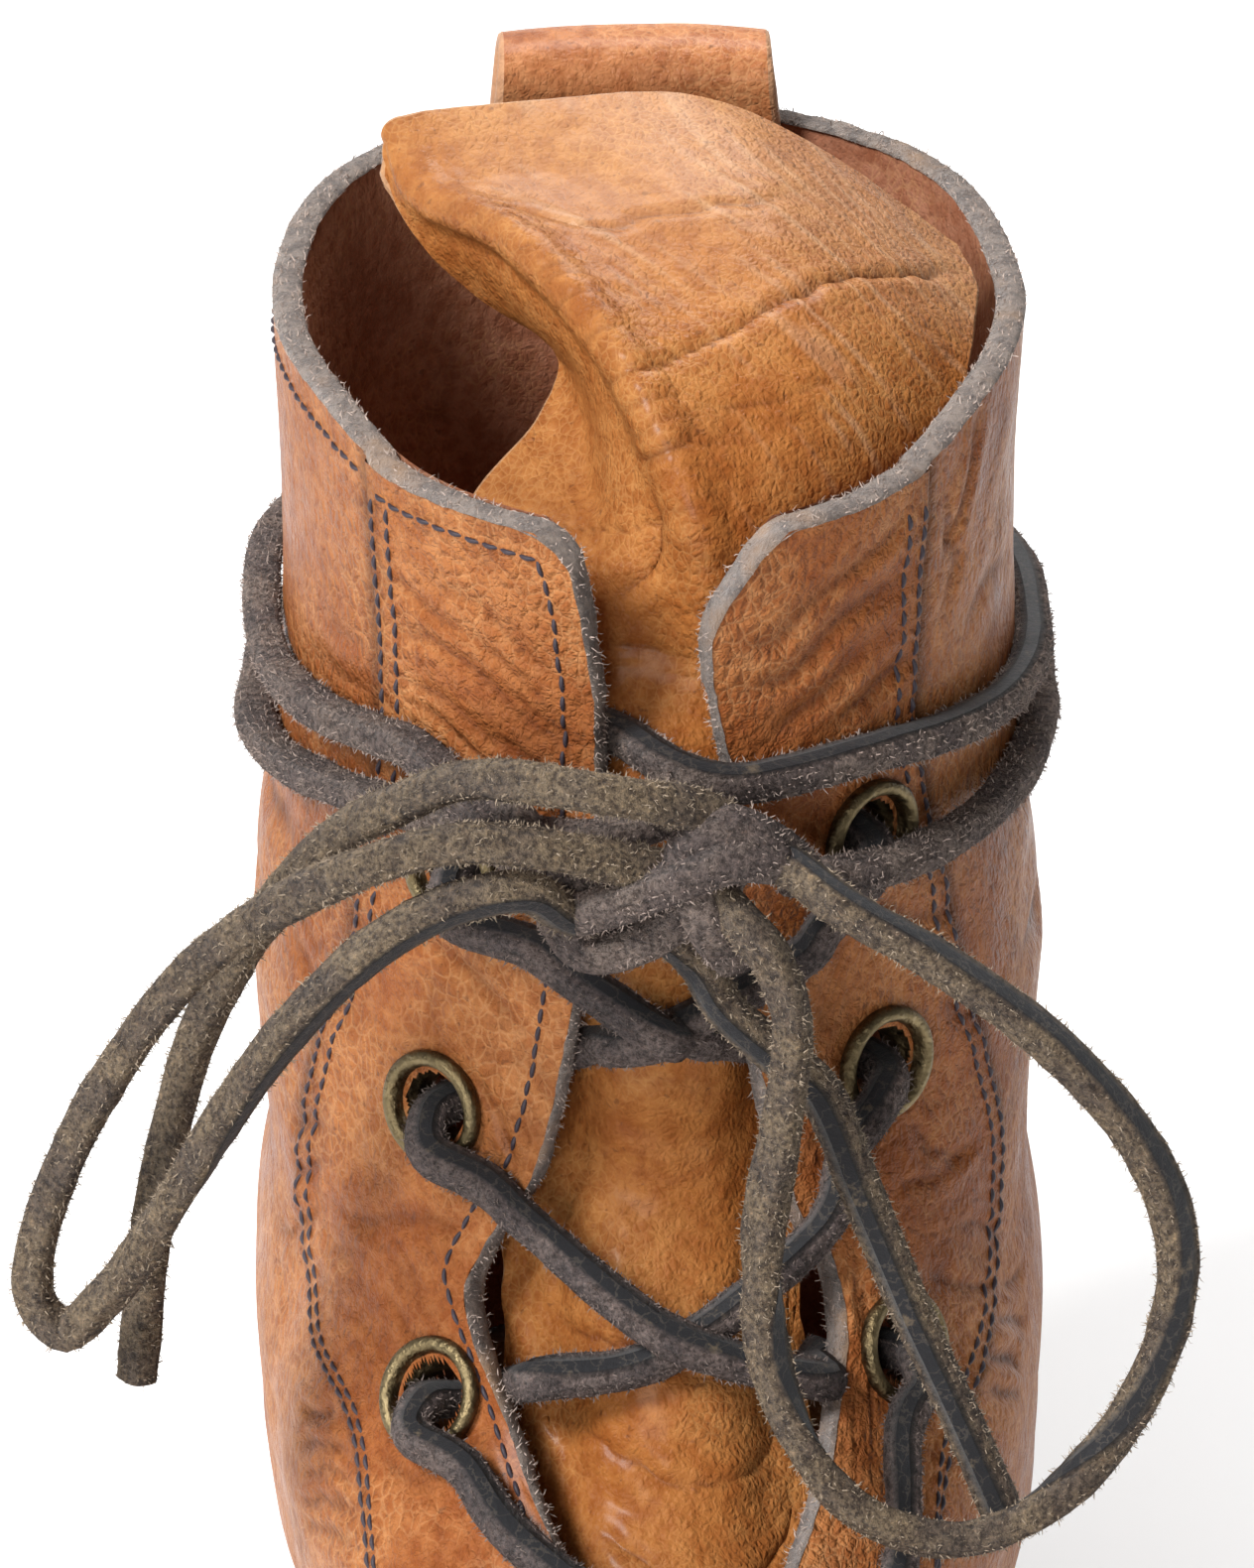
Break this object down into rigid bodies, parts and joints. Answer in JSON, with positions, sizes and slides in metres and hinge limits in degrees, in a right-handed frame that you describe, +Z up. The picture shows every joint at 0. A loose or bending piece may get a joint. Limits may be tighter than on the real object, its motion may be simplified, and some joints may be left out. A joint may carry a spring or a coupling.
{
  "type": "lace-up ankle boot",
  "caption": "Lace-up leather ankle boot for the right foot, empty and open at the collar, with its lace wound round the shaft and tied in a bow.",
  "frame": {"origin": "middle of the heel block's contact with the floor", "axes": "+Z up, toe towards -Y, heel towards +Y, +X towards the inner side of the right foot"},
  "size_m": [0.1205, 0.286, 0.2195],
  "materials": {
    "upper_leather": "waxed, pebbled, worn",
    "tongue_leather": "soft, creased",
    "loop_leather": "soft, rubbed",
    "insole_leather": "matt",
    "sole_leather": "burnished edge",
    "heel_rubber": "matt",
    "eyelet_brass": "antique",
    "suede_lace": "napped, fuzzy"
  },
  "bodies": {
    "root": {"outsole": "sole_leather", "heel": "heel_rubber", "welt": "sole_leather", "insole": "insole_leather", "upper": "upper_leather", "tongue": "tongue_leather", "pull_loop": "loop_leather", "eyelet_outer_1": "eyelet_brass", "eyelet_outer_2": "eyelet_brass", "eyelet_outer_3": "eyelet_brass", "eyelet_outer_4": "eyelet_brass", "eyelet_inner_1": "eyelet_brass", "eyelet_inner_2": "eyelet_brass", "eyelet_inner_3": "eyelet_brass", "eyelet_inner_4": "eyelet_brass", "lace_crossing_1": "suede_lace", "lace_crossing_2": "suede_lace", "lace_crossing_3": "suede_lace", "lace_bar": "suede_lace", "lace_turn_upper": "suede_lace", "lace_turn_lower": "suede_lace", "lace_knot": "suede_lace", "lace_loop_left": "suede_lace", "lace_loop_right": "suede_lace", "lace_end_left": "suede_lace", "lace_end_right": "suede_lace"}
  },
  "joints": []
}
